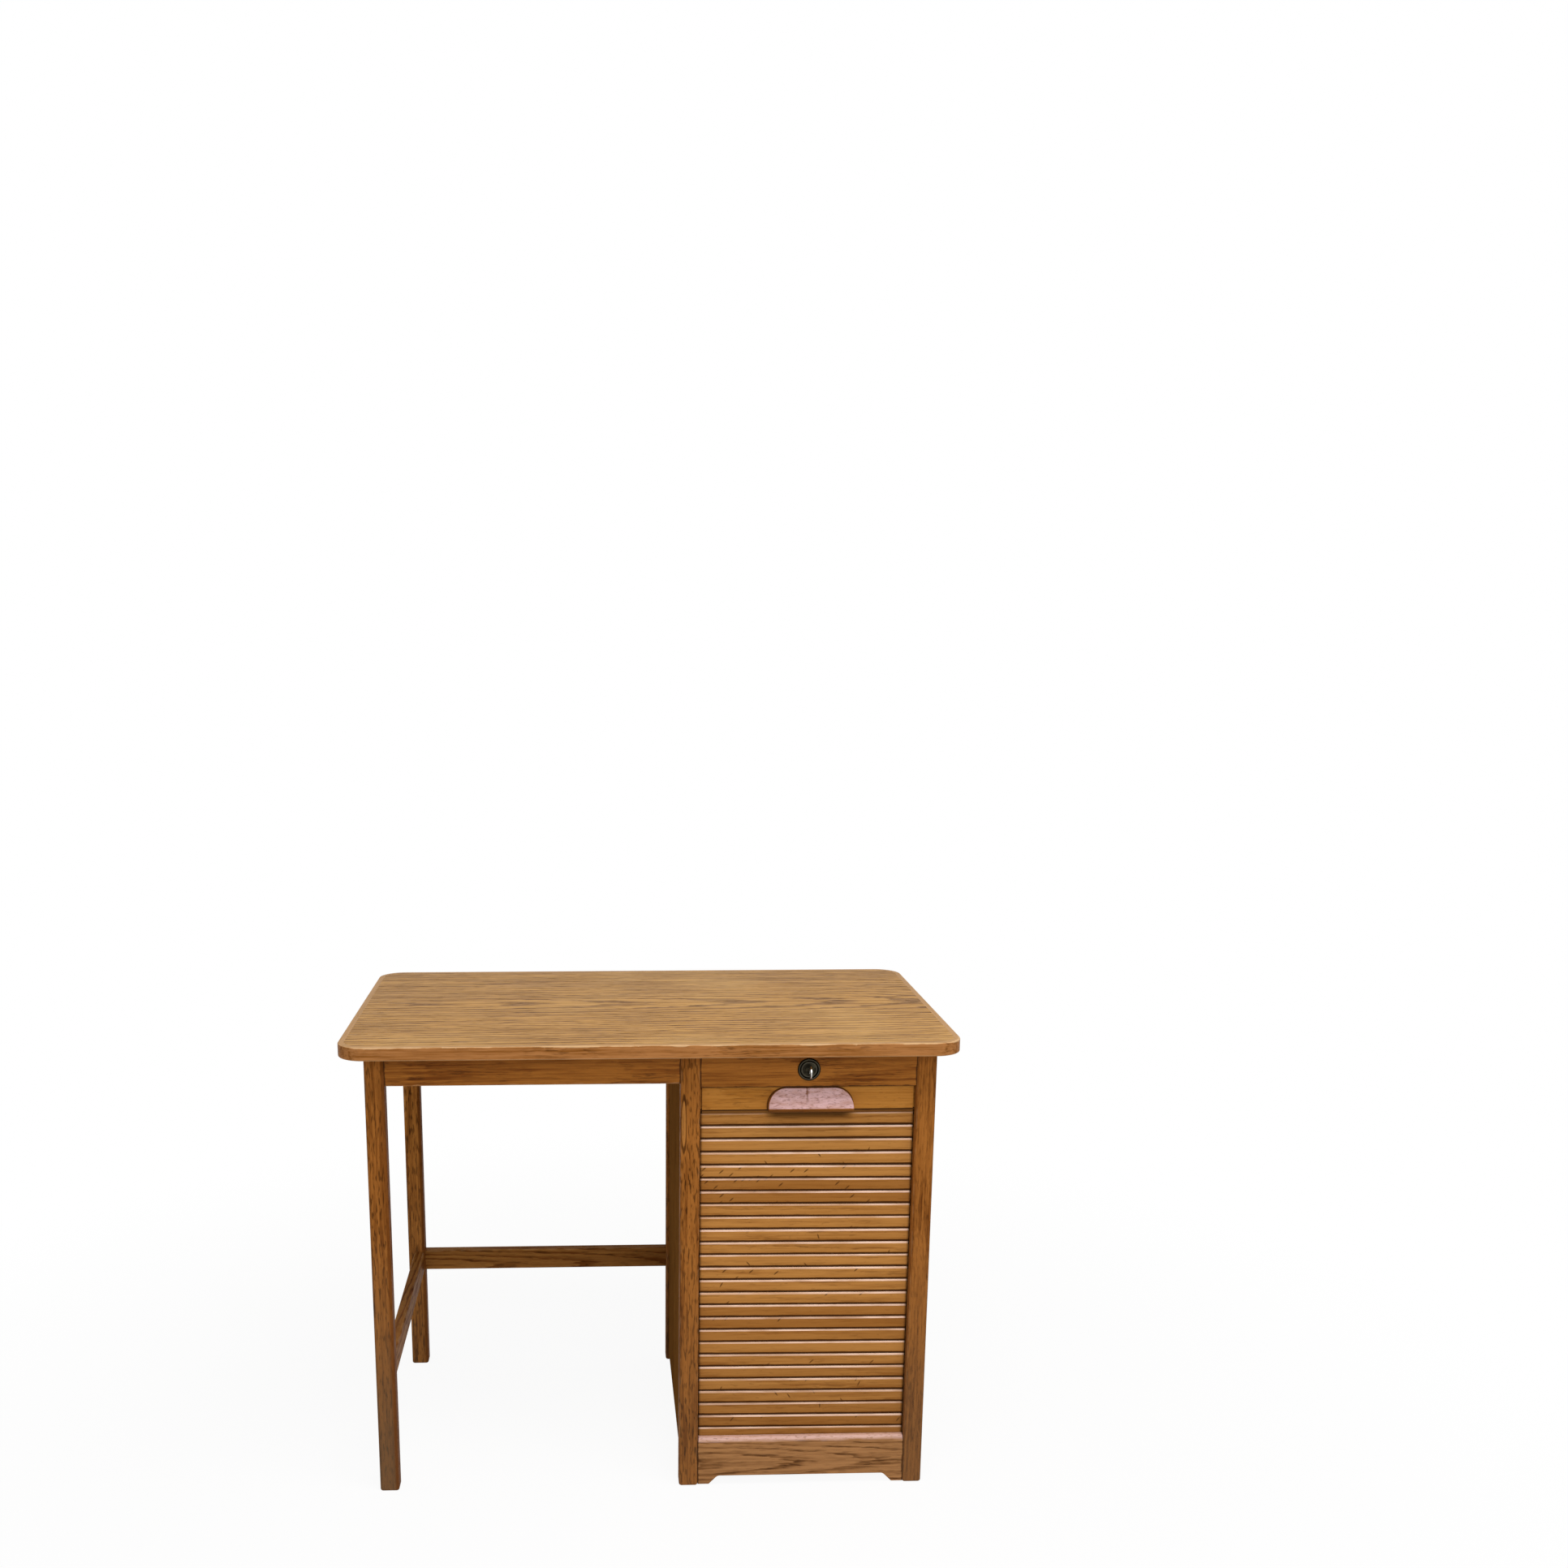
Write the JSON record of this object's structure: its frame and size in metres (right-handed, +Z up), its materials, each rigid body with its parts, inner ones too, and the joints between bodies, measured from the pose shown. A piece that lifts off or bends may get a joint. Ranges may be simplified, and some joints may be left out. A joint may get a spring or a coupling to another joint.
{
  "type": "pedestal desk with slatted shutter",
  "caption": "Oak writing desk with rounded top corners, open leg frame and a pedestal closed by a slatted shutter that slides down, with wedge pull and cylinder lock.",
  "frame": {"origin": "on the floor, under the middle of the top", "axes": "+X to the user's right along the top, +Y to the back, +Z up"},
  "size_m": [1, 0.6, 0.786],
  "materials": {
    "oak_veneer": "glossy golden-brown lacquer over oak veneer",
    "oak_solid": "glossy golden-brown lacquer over solid oak, worn at the arrises",
    "oak_slat": "lacquered golden oak slats",
    "panel_ply": "lacquered oak-faced plywood",
    "inner_wood": "plain unstained wood, thinly sealed",
    "canvas": "raw linen canvas",
    "dark_bronze": "dark bronzed metal, rubbed",
    "steel": "plain nickelled steel"
  },
  "bodies": {
    "carcass": {"top_panel": "oak_veneer", "left_front_leg": "oak_solid", "left_back_leg": "oak_solid", "front_apron": "oak_solid", "back_apron": "oak_solid", "left_side_apron": "oak_solid", "left_side_stretcher": "oak_solid", "back_stretcher": "oak_solid", "left_front_post": "oak_solid", "right_front_post": "oak_solid", "left_back_post": "oak_solid", "right_back_post": "oak_solid", "lock_rail": "oak_solid", "kick_board": "oak_solid", "top_lipping_front": "oak_solid", "top_lipping_back": "oak_solid", "top_lipping_left": "oak_solid", "top_lipping_right": "oak_solid", "shutter_slats": "oak_slat", "left_side_panel": "panel_ply", "right_side_panel": "panel_ply", "back_panel": "panel_ply", "left_track_board": "inner_wood", "right_track_board": "inner_wood", "pedestal_floor": "inner_wood", "lower_shelf": "inner_wood", "upper_shelf": "inner_wood", "false_back": "inner_wood", "shelf_cleats": "inner_wood", "top_fixing_blocks": "inner_wood", "shutter_canvas": "canvas", "lock_rose": "dark_bronze", "lock_case": "dark_bronze", "lock_nut": "steel", "cleat_screws": "steel", "top_fixing_screws": "steel"},
    "shutter": {"lead_slat": "oak_solid", "shutter_pull": "oak_solid", "keeper_plate": "steel", "pull_screws": "steel", "keeper_screws": "steel"},
    "lock_cylinder": {"lock_plug": "dark_bronze", "lock_cam": "steel", "cam_screw": "steel"},
    "key": {"key": "steel"}
  },
  "joints": [
    {"name": "shutter_slide", "type": "slide", "parent": "carcass", "child": "shutter", "axis": [0, 0, -1], "range_m": [0, 0.572], "deforming": ["shutter_slats", "shutter_canvas"]},
    {"name": "lock_turn", "type": "hinge", "parent": "carcass", "child": "lock_cylinder", "pos_m": [0.256, -0.264, 0.7345], "axis": [0, -1, 0], "range_deg": [0, 90]},
    {"name": "key_pull", "type": "slide", "parent": "lock_cylinder", "child": "key", "axis": [0, -1, 0], "range_m": [0, 0.024]}
  ]
}
